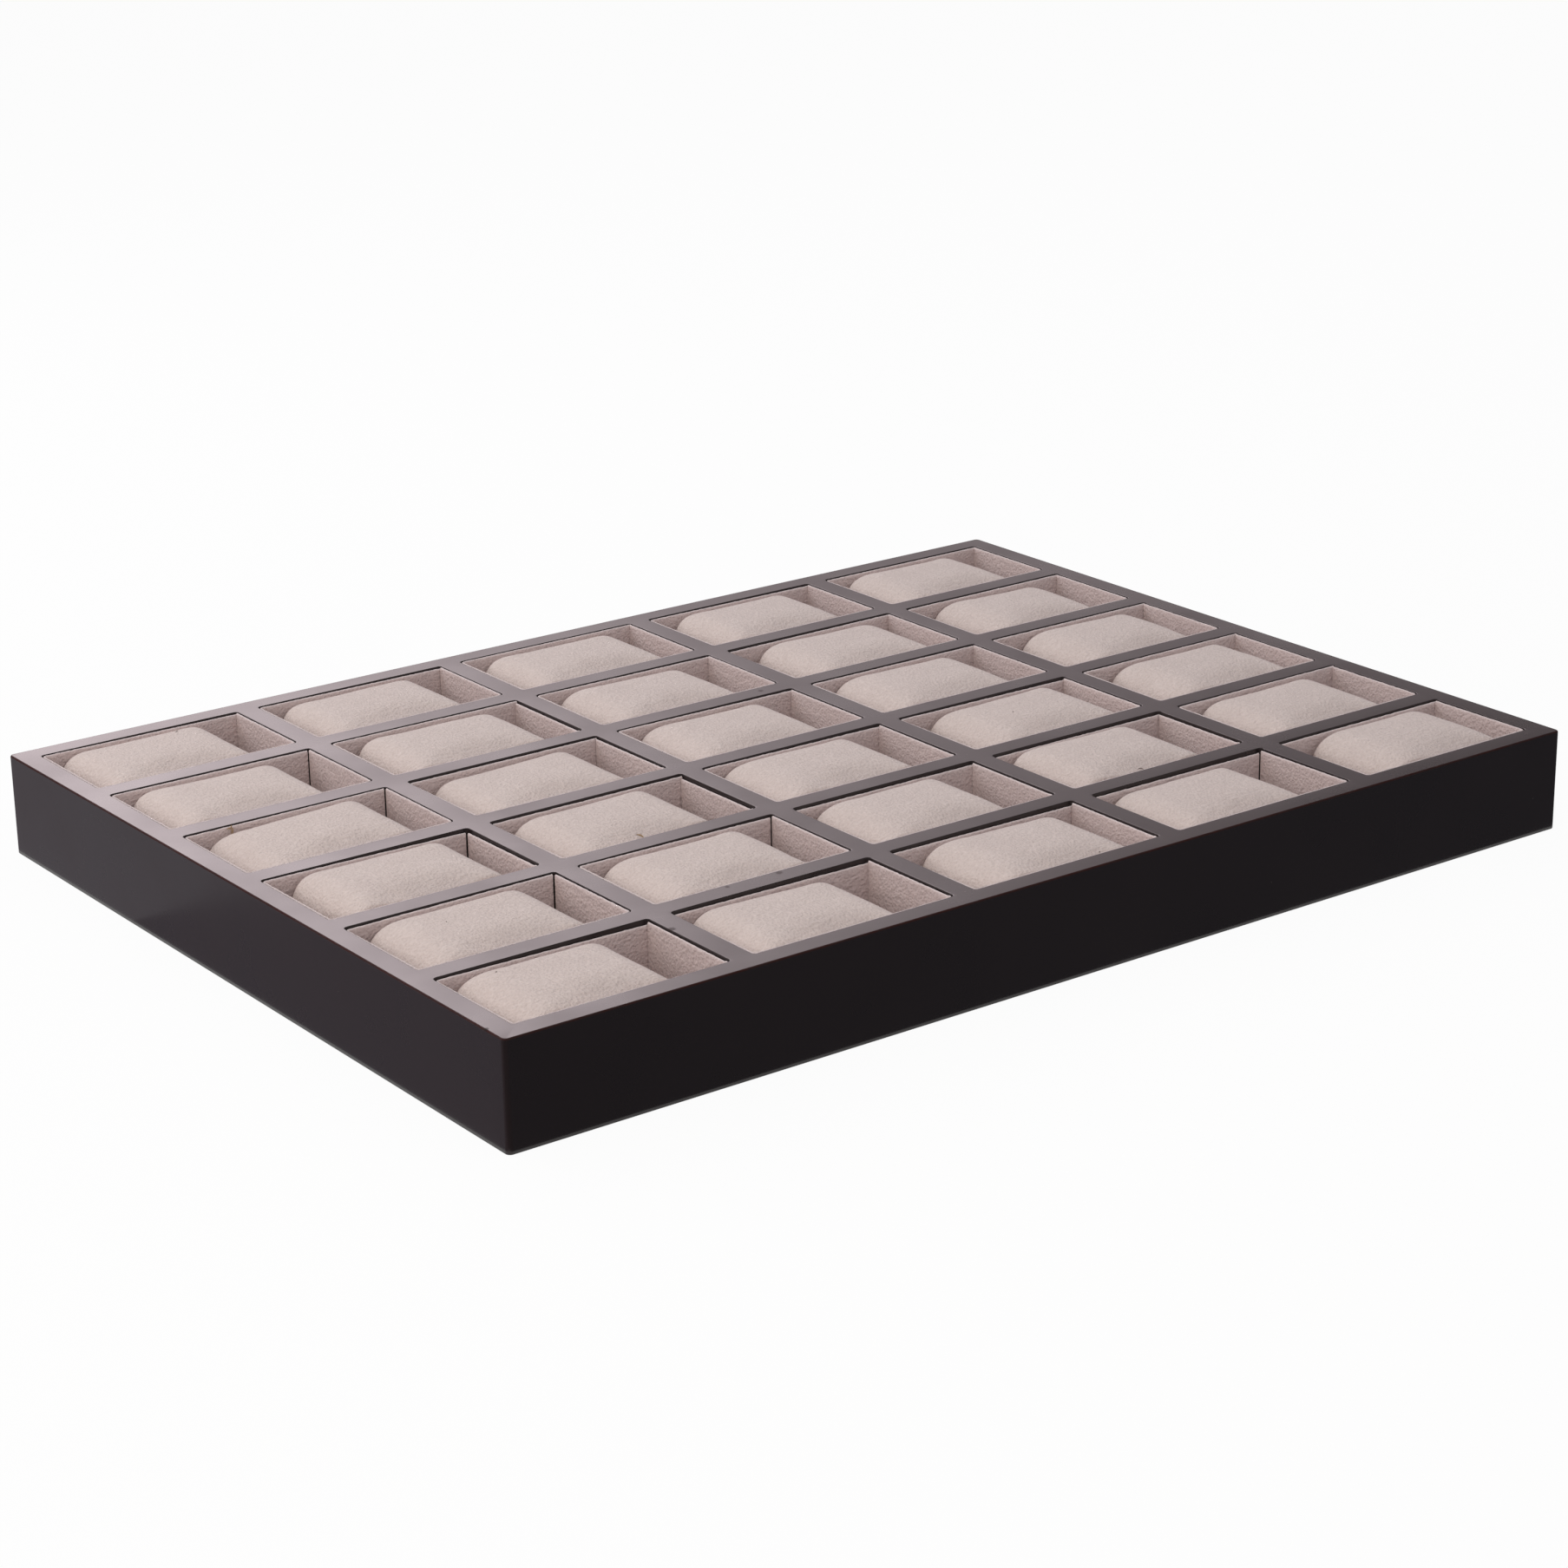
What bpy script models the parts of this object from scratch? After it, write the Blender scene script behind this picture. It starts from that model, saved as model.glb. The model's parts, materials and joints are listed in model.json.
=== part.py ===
"""Open tray with a grid of lined cells, each holding a loose cushion that carries a wristwatch.

Metres, +Z up. The origin is the middle of the underside. X runs along the long front side from left to
right and Y from the front to the back. Columns count from the left and rows from the front, both from 0.
"""

import math

import bmesh
import bpy
from mathutils import Vector

for leftover in list(bpy.data.objects):
    bpy.data.objects.remove(leftover, do_unlink=True)

# Carcass: four walls and a grid of dividers from one board, around a thin base
TRAY_LENGTH = 0.480
TRAY_DEPTH = 0.352
TRAY_HEIGHT = 0.040
BOARD_THICKNESS = 0.009
BASE_THICKNESS = 0.003
COLUMNS = 5
ROWS = 6
JOINT_GAP = 0.0003
CORNER_RADIUS = 0.002
CORNER_STEPS = 3
TOP_EDGE_BREAK = 0.0006

# Lining: one suede-covered floor card a row, with an upright folded sleeve in each cell
FLOOR_CARD_THICKNESS = 0.0015
SLEEVE_THICKNESS = 0.0017
SLEEVE_DROP = 0.0008
LINING_GAP = 0.0003

# Cushion: an upright oval roll, squeezed between the front and back of its cell
CUSHION_HEIGHT = 0.0352
CUSHION_ROLL_RADIUS = 0.012
CUSHION_EDGE_RADIUS = 0.004
CUSHION_CROWN = 0.0010
CUSHION_GAP = 0.0003
ROLL_STEPS = 3
TOP_STEPS = 4
MM = 0.001

# How the soft cushions lie, in millimetres, one line a row from the front and one value a column.
# Free length of the cell that is left of each cushion, and right of it
LEFT_SPACES = (
    (2.5, 0.5, 10.0, 1.5, 13.0),
    (3.5, 4.5, 4.5, 1.0, 5.0),
    (4.0, 3.0, 4.0, 9.5, 11.0),
    (3.5, 2.0, 4.5, 7.0, 11.5),
    (0.5, 3.5, 5.0, 9.0, 10.5),
    (0.5, 2.0, 3.0, 5.0, 5.0),
)
RIGHT_SPACES = (
    (15.0, 14.0, 4.5, 14.0, 6.0),
    (9.5, 10.0, 13.5, 12.5, 10.0),
    (6.5, 12.0, 11.5, 4.0, 5.5),
    (8.0, 9.5, 11.0, 9.0, 6.0),
    (11.0, 7.0, 9.5, 4.5, 8.0),
    (11.5, 10.0, 6.0, 8.5, 10.0),
)
# How far the top stands above the plain height, at the left end and at the right end
LEFT_RISES = (
    (-0.7, -0.5, -0.1, -1.1, 0.1),
    (0.0, 0.0, -0.1, 0.8, -0.1),
    (0.2, -0.5, 0.3, -0.6, 0.1),
    (-1.9, -2.3, -0.1, 0.3, 0.1),
    (-0.3, -0.1, 0.1, 0.1, 0.3),
    (-0.6, -0.8, -0.3, 0.1, 0.1),
)
RIGHT_RISES = (
    (-0.7, -2.0, -1.7, -1.1, -0.2),
    (0.0, -0.1, -0.1, 0.1, -0.3),
    (0.1, -0.1, -0.1, 0.1, -0.5),
    (0.7, -0.1, -0.9, -0.7, -0.5),
    (-0.5, -0.5, -0.9, -0.9, -1.6),
    (0.3, 0.1, -0.3, -0.1, -0.5),
)

# Places that follow from the sizes
HALF_LENGTH = TRAY_LENGTH / 2
HALF_DEPTH = TRAY_DEPTH / 2
INNER_X = HALF_LENGTH - BOARD_THICKNESS
INNER_Y = HALF_DEPTH - BOARD_THICKNESS
CELL_LENGTH = (2 * INNER_X - (COLUMNS - 1) * BOARD_THICKNESS) / COLUMNS
CELL_DEPTH = (2 * INNER_Y - (ROWS - 1) * BOARD_THICKNESS) / ROWS
CARD_BOTTOM = BASE_THICKNESS + LINING_GAP
CARD_TOP = CARD_BOTTOM + FLOOR_CARD_THICKNESS
DIVIDER_BOTTOM = CARD_TOP + JOINT_GAP
LAP_HEIGHT = (DIVIDER_BOTTOM + TRAY_HEIGHT) / 2
LINED_LENGTH = CELL_LENGTH - 2 * (LINING_GAP + SLEEVE_THICKNESS)
LINED_DEPTH = CELL_DEPTH - 2 * (LINING_GAP + SLEEVE_THICKNESS)
CUSHION_WIDTH = LINED_DEPTH - 2 * CUSHION_GAP


def cell_x(column):
    """Left edge of a column's openings."""
    return -INNER_X + column * (CELL_LENGTH + BOARD_THICKNESS)


def cell_y(row):
    """Front edge of a row's openings."""
    return -INNER_Y + row * (CELL_DEPTH + BOARD_THICKNESS)


def surface(name, colour, roughness):
    """Material of one kind of piece: a Principled surface in linear colour."""
    material = bpy.data.materials.new(name)
    material.use_nodes = True
    shader = material.node_tree.nodes["Principled BSDF"]
    shader.inputs["Base Color"].default_value = (*colour, 1.0)
    shader.inputs["Roughness"].default_value = roughness
    shader.inputs["Metallic"].default_value = 0.0
    return material


LACQUER = surface("dark_brown_lacquer", (0.012, 0.009, 0.008), 0.22)
BASE_BOARD = surface("dark_painted_hardboard", (0.014, 0.011, 0.010), 0.6)
SUEDE = surface("taupe_suede", (0.55, 0.46, 0.45), 0.95)
CUSHION_COVER = surface("ivory_suede", (0.60, 0.53, 0.48), 0.95)


def place(name, shape, material):
    """Turns a finished bmesh into the object of one piece."""
    bmesh.ops.recalc_face_normals(shape, faces=shape.faces)
    mesh = bpy.data.meshes.new(name)
    shape.to_mesh(mesh)
    shape.free()
    mesh.materials.append(material)
    piece = bpy.data.objects.new(name, mesh)
    bpy.context.collection.objects.link(piece)
    return piece


def stepped_block(xs, ys, zs, is_solid):
    """Closed surface around the solid cells of the grid whose lines lie at xs, ys and zs."""
    shape = bmesh.new()
    counts = (len(xs) - 1, len(ys) - 1, len(zs) - 1)
    corners = {}

    def corner(i, j, k):
        if (i, j, k) not in corners:
            corners[i, j, k] = shape.verts.new((xs[i], ys[j], zs[k]))
        return corners[i, j, k]

    def solid(cell):
        inside = all(0 <= index < count for index, count in zip(cell, counts))
        return inside and is_solid(*cell)

    cells = [(i, j, k) for i in range(counts[0]) for j in range(counts[1]) for k in range(counts[2])]
    for cell in filter(solid, cells):
        for axis in range(3):
            across, along = (axis + 1) % 3, (axis + 2) % 3
            for side in (0, 1):
                neighbour = list(cell)
                neighbour[axis] += 2 * side - 1
                if solid(neighbour):
                    continue
                ring = []
                for step_across, step_along in ((0, 0), (1, 0), (1, 1), (0, 1)):
                    point = list(cell)
                    point[axis] += side
                    point[across] += step_across
                    point[along] += step_along
                    ring.append(corner(*point))
                shape.faces.new(ring if side else ring[::-1])
    bmesh.ops.dissolve_limit(shape, angle_limit=math.radians(1), verts=shape.verts, edges=shape.edges)
    return shape


def round_edges(shape, chosen, radius, steps):
    """Rounds the chosen edges of a shape."""
    edges = [edge for edge in shape.edges if chosen(edge)]
    bmesh.ops.bevel(
        shape, geom=edges, offset=radius, segments=steps, profile=0.5, affect="EDGES", clamp_overlap=True
    )


def wall(name, low, high, inward, covers_ends):
    """Side board of the tray, with its outer top edge broken and its exposed end corners rounded."""
    shape = stepped_block((low[0], high[0]), (low[1], high[1]), (0, TRAY_HEIGHT), lambda i, j, k: True)
    outer = low.y if inward.y > 0 else high.y

    def is_tray_corner(edge):
        upright = abs(edge.verts[0].co.z - edge.verts[1].co.z) > TRAY_HEIGHT / 2
        return upright and all(math.isclose(vertex.co.y, outer, abs_tol=1e-6) for vertex in edge.verts)

    def is_outer_top(edge):
        if not all(math.isclose(vertex.co.z, TRAY_HEIGHT, abs_tol=1e-6) for vertex in edge.verts):
            return False
        sides = [face.normal for face in edge.link_faces if abs(face.normal.z) < 0.5]
        if covers_ends:
            return all(normal.dot(inward) < 0.5 for normal in sides)
        return all(normal.dot(inward) < -0.5 for normal in sides)

    bmesh.ops.recalc_face_normals(shape, faces=shape.faces)
    if covers_ends:
        round_edges(shape, is_tray_corner, CORNER_RADIUS, CORNER_STEPS)
        shape.normal_update()
    round_edges(shape, is_outer_top, TOP_EDGE_BREAK, 1)
    return place(name, shape, LACQUER)


def build_walls():
    """Front and back boards run the whole length and cover the ends of the two side boards."""
    side_reach = INNER_Y - JOINT_GAP
    for name, side in (("front_wall", -1), ("back_wall", 1)):
        near, far = sorted((side * HALF_DEPTH, side * INNER_Y))
        wall(name, Vector((-HALF_LENGTH, near)), Vector((HALF_LENGTH, far)), Vector((0, -side, 0)), True)
    for name, side in (("left_wall", -1), ("right_wall", 1)):
        near, far = sorted((side * HALF_LENGTH, side * INNER_X))
        wall(name, Vector((near, -side_reach)), Vector((far, side_reach)), Vector((-side, 0, 0)), False)


def build_base():
    """Thin panel let in between the four walls, flush with their lower edges."""
    reach_x = INNER_X - JOINT_GAP
    reach_y = INNER_Y - JOINT_GAP
    shape = stepped_block(
        (-reach_x, reach_x), (-reach_y, reach_y), (0, BASE_THICKNESS), lambda i, j, k: True
    )
    place("base_panel", shape, BASE_BOARD)


def notched_lines(reach, count, first_edge, pitch):
    """Grid lines of a divider: its two ends and both sides of every lapping notch."""
    lines = [-reach]
    for index in range(count):
        edge = first_edge + index * pitch
        lines += [edge - JOINT_GAP, edge + BOARD_THICKNESS + JOINT_GAP]
    return lines + [reach]


def build_dividers():
    """Dividers lap each other by half: long ones are notched from the top, cross ones from below."""
    reach_x = INNER_X - JOINT_GAP
    reach_y = INNER_Y - JOINT_GAP
    xs = notched_lines(reach_x, COLUMNS - 1, cell_x(0) + CELL_LENGTH, CELL_LENGTH + BOARD_THICKNESS)
    ys = notched_lines(reach_y, ROWS - 1, cell_y(0) + CELL_DEPTH, CELL_DEPTH + BOARD_THICKNESS)
    for row in range(ROWS - 1):
        front = cell_y(row) + CELL_DEPTH
        levels = (BASE_THICKNESS + JOINT_GAP, LAP_HEIGHT - JOINT_GAP / 2, TRAY_HEIGHT)
        shape = stepped_block(
            xs, (front, front + BOARD_THICKNESS), levels, lambda i, j, k: k == 0 or i % 2 == 0
        )
        place(f"long_divider_{row}", shape, LACQUER)
    for column in range(COLUMNS - 1):
        left = cell_x(column) + CELL_LENGTH
        levels = (DIVIDER_BOTTOM, LAP_HEIGHT + JOINT_GAP / 2, TRAY_HEIGHT)
        shape = stepped_block(
            (left, left + BOARD_THICKNESS), ys, levels, lambda i, j, k: k == 1 or j % 2 == 0
        )
        place(f"cross_divider_{column}", shape, LACQUER)


def build_linings():
    """A floor card runs under the cross dividers of each row, with a sleeve standing in every cell."""
    xs = []
    for column in range(COLUMNS):
        left = cell_x(column) + LINING_GAP
        right = cell_x(column) + CELL_LENGTH - LINING_GAP
        xs += [left, left + SLEEVE_THICKNESS, right - SLEEVE_THICKNESS, right]
    for row in range(ROWS):
        front = cell_y(row) + LINING_GAP
        back = cell_y(row) + CELL_DEPTH - LINING_GAP
        ys = (front, front + SLEEVE_THICKNESS, back - SLEEVE_THICKNESS, back)
        levels = (CARD_BOTTOM, CARD_TOP, TRAY_HEIGHT - SLEEVE_DROP)

        def is_card(i, j, k):
            under_divider = i % 4 == 3
            inside_sleeve = i % 4 == 1 and j == 1
            return k == 0 or not (under_divider or inside_sleeve)

        place(f"row_lining_{row}", stepped_block(xs, ys, levels, is_card), SUEDE)


def cushion_outline(length, inset, crown):
    """Side view of a cushion, X by Z: a flat bottom, round ends and a crowned top, pulled in by inset."""
    half = length / 2 - inset
    radius = CUSHION_ROLL_RADIUS - inset
    low = inset
    high = CUSHION_HEIGHT - inset
    points = []
    for centre_x, centre_z, start in (
        (half - radius, low + radius, -90),
        (half - radius, high - radius, 0),
        (radius - half, high - radius, 90),
        (radius - half, low + radius, 180),
    ):
        for step in range(ROLL_STEPS + 1):
            angle = math.radians(start + 90 * step / ROLL_STEPS)
            points.append((centre_x + radius * math.cos(angle), centre_z + radius * math.sin(angle)))
        if start == 0:
            for step in range(1, TOP_STEPS):
                share = step / TOP_STEPS
                rise = crown * 4 * share * (1 - share)
                points.append(((half - radius) * (1 - 2 * share), high + rise))
    return points


def lie(table, column, row):
    """Value of one cushion in metres, starting the table again past its last row or column."""
    values = table[row % len(table)]
    return values[column % len(values)] * MM


def build_cushion(column, row):
    """One cushion flat on its floor card, squeezed between the front and back of its sleeve."""
    left_space = CUSHION_GAP + lie(LEFT_SPACES, column, row)
    right_space = CUSHION_GAP + lie(RIGHT_SPACES, column, row)
    left_rise = lie(LEFT_RISES, column, row)
    right_rise = lie(RIGHT_RISES, column, row)
    left_end = cell_x(column) + LINING_GAP + SLEEVE_THICKNESS + left_space
    length = LINED_LENGTH - left_space - right_space
    half_width = CUSHION_WIDTH / 2
    knee = CUSHION_EDGE_RADIUS * math.sqrt(0.5)
    half_sections = (
        (half_width, CUSHION_EDGE_RADIUS - knee / 2, 0.0),
        (half_width - CUSHION_EDGE_RADIUS + knee, CUSHION_EDGE_RADIUS - knee, 0.0),
        (half_width - CUSHION_EDGE_RADIUS, 0.0, 0.0),
    )
    front_half = [(-y, inset, crown) for y, inset, crown in half_sections]
    sections = [*front_half, (0.0, 0.0, CUSHION_CROWN), *reversed(half_sections)]
    shape = bmesh.new()
    rings = []
    for y, inset, crown in sections:
        ring = []
        for x, z in cushion_outline(length, inset, crown):
            share = x / length + 0.5
            rise = left_rise + share * (right_rise - left_rise)
            ring.append(shape.verts.new((x, y, z * (1 + rise / CUSHION_HEIGHT))))
        rings.append(ring)
    for ring, following in zip(rings, rings[1:]):
        for index in range(len(ring)):
            after = (index + 1) % len(ring)
            shape.faces.new((ring[index], ring[after], following[after], following[index]))
    shape.faces.new(rings[0][::-1])
    shape.faces.new(rings[-1])
    cushion = place(f"cushion_c{column}_r{row}", shape, CUSHION_COVER)
    cushion.location = (left_end + length / 2, cell_y(row) + CELL_DEPTH / 2, CARD_TOP + CUSHION_GAP)
    cushion.data.shade_smooth()
    cushion.data.set_sharp_from_angle(angle=math.radians(50))


build_walls()
build_base()
build_dividers()
build_linings()
for row in range(ROWS):
    for column in range(COLUMNS):
        build_cushion(column, row)
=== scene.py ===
"""Lacquered display tray with thirty suede-lined cells and their cushions.

Metres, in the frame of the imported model: X to the right along the front, Y to the back, +Z up.
Columns count from the left and rows from the front, both from 0.
"""

import json
import math

import bmesh
import bpy
from mathutils import Matrix, Vector, noise

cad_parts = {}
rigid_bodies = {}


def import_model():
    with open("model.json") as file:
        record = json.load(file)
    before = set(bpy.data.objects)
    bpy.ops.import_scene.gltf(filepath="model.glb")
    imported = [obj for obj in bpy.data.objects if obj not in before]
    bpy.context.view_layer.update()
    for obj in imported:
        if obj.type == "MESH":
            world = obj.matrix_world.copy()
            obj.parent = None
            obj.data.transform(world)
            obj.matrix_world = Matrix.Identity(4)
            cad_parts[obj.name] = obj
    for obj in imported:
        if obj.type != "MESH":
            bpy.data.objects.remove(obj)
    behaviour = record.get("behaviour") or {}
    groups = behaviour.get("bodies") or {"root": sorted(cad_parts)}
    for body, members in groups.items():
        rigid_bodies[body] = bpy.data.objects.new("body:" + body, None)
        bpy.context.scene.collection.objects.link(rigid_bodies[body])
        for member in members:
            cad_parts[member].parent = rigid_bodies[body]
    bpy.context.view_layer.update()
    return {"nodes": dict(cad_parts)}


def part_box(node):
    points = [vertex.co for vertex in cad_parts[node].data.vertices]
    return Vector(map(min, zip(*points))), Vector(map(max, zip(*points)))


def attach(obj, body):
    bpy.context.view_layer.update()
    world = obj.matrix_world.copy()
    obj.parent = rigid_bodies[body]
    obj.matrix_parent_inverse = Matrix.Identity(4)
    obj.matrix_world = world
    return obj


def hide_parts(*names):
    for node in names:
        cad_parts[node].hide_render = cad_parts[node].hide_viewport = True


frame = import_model()

# Carcass. Four walls and nine lapped dividers of 9 mm fibreboard, glued up, filled and sanded flush, then
# sprayed as one with dark brown lacquer. No joint shows, the outer edges are sanded round, and the film
# wears to the red primer along them.
MM = 0.001
OUTER_CORNER = 2.0 * MM
OUTER_EDGE = 0.7 * MM
LOWER_EDGE = 0.5 * MM
OPENING_CORNER = 1.5 * MM
OPENING_EDGE = 0.3 * MM
# Limits that tell the edges and corners of the shape apart
OPENING_MARGIN = 0.5 * MM
SAME_LINE = 0.1 * MM
SAME_HEIGHT = 0.01 * MM
INSIDE_ROUND = 0.02 * MM
SHARP_ANGLE = math.radians(60)

columns = 1 + sum(name.startswith("cross_divider_") for name in frame["nodes"])
rows = 1 + sum(name.startswith("long_divider_") for name in frame["nodes"])
front_low, front_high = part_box("front_wall")
back_low, back_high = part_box("back_wall")
left_low, left_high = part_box("left_wall")
right_low, right_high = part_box("right_wall")
rim = front_high.z
x_lines = [left_low.x, left_high.x]
for column in range(columns - 1):
    low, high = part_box(f"cross_divider_{column}")
    x_lines += [low.x, high.x]
x_lines += [right_low.x, right_high.x]
y_lines = [front_low.y, front_high.y]
for row in range(rows - 1):
    low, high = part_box(f"long_divider_{row}")
    y_lines += [low.y, high.y]
y_lines += [back_low.y, back_high.y]
divider_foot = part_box("cross_divider_0")[0].z
z_lines = [0.0, divider_foot, rim]


def board_at(i, j, k):
    """True where the grid cell i, j, k is board: walls all the way down, dividers above the floor card."""
    if not (0 <= i < len(x_lines) - 1 and 0 <= j < len(y_lines) - 1 and 0 <= k < 2):
        return False
    if i % 2 == 1 and j % 2 == 1:
        return False
    in_wall = i in (0, len(x_lines) - 2) or j in (0, len(y_lines) - 2)
    return in_wall or k == 1


def piece_from(shape, name, *materials):
    """Object made of a finished bmesh."""
    mesh = bpy.data.meshes.new(name)
    shape.to_mesh(mesh)
    shape.free()
    for material in materials:
        mesh.materials.append(material)
    piece = bpy.data.objects.new(name, mesh)
    bpy.context.scene.collection.objects.link(piece)
    return piece


def bevelled(shape, edges, radius, steps):
    """Rounds some edges of a shape."""
    bmesh.ops.bevel(
        shape, geom=edges, offset=radius, segments=steps, profile=0.5, affect="EDGES", clamp_overlap=True
    )
    shape.normal_update()


carcass_shape = bmesh.new()
corner_points = {}


def grid_point(i, j, k):
    """Corner of the board grid, made once."""
    if (i, j, k) not in corner_points:
        corner_points[i, j, k] = carcass_shape.verts.new((x_lines[i], y_lines[j], z_lines[k]))
    return corner_points[i, j, k]


for i in range(len(x_lines) - 1):
    for j in range(len(y_lines) - 1):
        for k in range(2):
            if not board_at(i, j, k):
                continue
            for axis in range(3):
                for side in (0, 1):
                    beside = [i, j, k]
                    beside[axis] += 2 * side - 1
                    if board_at(*beside):
                        continue
                    ring = []
                    for across, along in ((0, 0), (1, 0), (1, 1), (0, 1)):
                        point = [i, j, k]
                        point[axis] += side
                        point[(axis + 1) % 3] += across
                        point[(axis + 2) % 3] += along
                        ring.append(grid_point(*point))
                    carcass_shape.faces.new(ring if side else ring[::-1])
carcass_shape.normal_update()


def is_upright(edge):
    """True for an edge that runs straight up."""
    run = edge.verts[0].co - edge.verts[1].co
    return abs(run.z) > 2 * MM and abs(run.x) < SAME_LINE and abs(run.y) < SAME_LINE


def on_outside(vertex):
    """True for a corner of the carcass's outer shell, and not of an opening."""
    beyond_x = not x_lines[1] - OPENING_MARGIN < vertex.co.x < x_lines[-2] + OPENING_MARGIN
    beyond_y = not y_lines[1] - OPENING_MARGIN < vertex.co.y < y_lines[-2] + OPENING_MARGIN
    return beyond_x or beyond_y


def folds(edge):
    """True for an edge between two faces that meet at an angle."""
    return len(edge.link_faces) == 2 and edge.calc_face_angle() > SHARP_ANGLE


def lies_at(edge, height):
    """True for an edge that is level and at this height."""
    return all(abs(vertex.co.z - height) < SAME_HEIGHT for vertex in edge.verts)


def outer(edges):
    """Those edges that are part of the outer shell."""
    return [edge for edge in edges if all(on_outside(vertex) for vertex in edge.verts)]


uprights = [edge for edge in carcass_shape.edges if is_upright(edge) and folds(edge)]
bevelled(carcass_shape, outer(uprights), OUTER_CORNER, 5)
uprights = [edge for edge in carcass_shape.edges if is_upright(edge) and folds(edge)]
opening_uprights = [edge for edge in uprights if not on_outside(edge.verts[0])]
bevelled(carcass_shape, opening_uprights, OPENING_CORNER, 3)
top_rings = [edge for edge in carcass_shape.edges if lies_at(edge, rim) and folds(edge)]
bevelled(carcass_shape, outer(top_rings), OUTER_EDGE, 4)
top_rings = [edge for edge in carcass_shape.edges if lies_at(edge, rim) and folds(edge)]
bevelled(carcass_shape, top_rings, OPENING_EDGE, 2)
foot_rings = [edge for edge in carcass_shape.edges if lies_at(edge, 0.0) and folds(edge)]
bevelled(carcass_shape, outer(foot_rings), LOWER_EDGE, 2)

# Wear on the outer rounds: the most along the rim, and a little down the upright corners
WORN_RIM = 1.0
WORN_CORNER = 0.15
worn = carcass_shape.verts.layers.float.new("worn_edge")
for vertex in carcass_shape.verts:
    if not on_outside(vertex):
        continue
    below_rim = rim - vertex.co.z
    from_side = min(vertex.co.x - x_lines[0], x_lines[-1] - vertex.co.x)
    from_end = min(vertex.co.y - y_lines[0], y_lines[-1] - vertex.co.y)
    if INSIDE_ROUND < below_rim < OUTER_EDGE - INSIDE_ROUND:
        vertex[worn] = WORN_RIM
    elif all(INSIDE_ROUND < inset < OUTER_CORNER - INSIDE_ROUND for inset in (from_side, from_end)):
        vertex[worn] = WORN_CORNER


def colour(code):
    """Linear colour of an sRGB hex value."""
    values = []
    for place in (0, 2, 4):
        value = int(code[place : place + 2], 16) / 255
        values.append(value / 12.92 if value <= 0.04045 else ((value + 0.055) / 1.055) ** 2.4)
    return (*values, 1.0)


def add(tree, kind, settings=None, links=None):
    """Adds a node, sets its properties and sockets, and links other nodes' outputs to its inputs."""
    node = tree.nodes.new(kind)
    for name, value in (settings or {}).items():
        if isinstance(name, str) and hasattr(node, name):
            setattr(node, name, value)
        else:
            node.inputs[name].default_value = value
    for name, output in (links or {}).items():
        tree.links.new(output, node.inputs[name])
    return node


# Sprayed nitrocellulose lacquer in espresso brown, rubbed to a satin gloss: dark body colour under a
# clear smooth film that mirrors the room softly at low angles, a faint orange peel and specks of dust.
# Pitch of its cloudy tone, of the patches in which an edge is worn, and of the orange peel
LACQUER_CLOUD = 45 * MM
WORN_PATCH = 6 * MM
ORANGE_PEEL = 2.5 * MM
lacquer = bpy.data.materials.new("espresso_satin_lacquer")
lacquer.use_nodes = True
tree = lacquer.node_tree
film = tree.nodes["Principled BSDF"]
film.inputs["IOR"].default_value = 1.5
place = add(tree, "ShaderNodeTexCoord").outputs["Object"]
cloud = add(tree, "ShaderNodeTexNoise", {"Scale": 1 / LACQUER_CLOUD, "Detail": 3.0}, {"Vector": place})
body = add(
    tree,
    "ShaderNodeMix",
    {"data_type": "RGBA", 6: colour("221B1B"), 7: colour("2A2222")},
    {0: cloud.outputs["Fac"]},
)
wear = add(tree, "ShaderNodeAttribute", {"attribute_name": "worn_edge"})
patch = add(tree, "ShaderNodeTexNoise", {"Scale": 1 / WORN_PATCH, "Detail": 4.0}, {"Vector": place})
patchy = add(
    tree,
    "ShaderNodeMapRange",
    {"From Min": 0.3, "From Max": 0.6, "To Min": 0.45},
    {"Value": patch.outputs["Fac"]},
)
worn_amount = add(
    tree,
    "ShaderNodeMath",
    {"operation": "MULTIPLY"},
    {0: wear.outputs["Fac"], 1: patchy.outputs["Result"]},
)
worn_body = add(
    tree,
    "ShaderNodeMix",
    {"data_type": "RGBA", 7: colour("35140F")},
    {0: worn_amount.outputs[0], 6: body.outputs[2]},
)
# Dust specks up to 0.45 mm across, one every 14 mm or so, and a little coarser than real so they show. The
# radii of a speck and of its solid core are shares of the spacing
DUST_SPACING = 14 * MM
DUST_RIM = 0.016
DUST_CORE = 0.010
dust_cells = add(tree, "ShaderNodeTexVoronoi", {"Scale": 1 / DUST_SPACING}, {"Vector": place})
dust = add(
    tree,
    "ShaderNodeMapRange",
    {"From Min": DUST_RIM, "From Max": DUST_CORE, "To Min": 0.0, "To Max": 0.5},
    {"Value": dust_cells.outputs["Distance"]},
)
dusty_body = add(
    tree,
    "ShaderNodeMix",
    {"data_type": "RGBA", 7: colour("9A9290")},
    {0: dust.outputs["Result"], 6: worn_body.outputs[2]},
)
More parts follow.
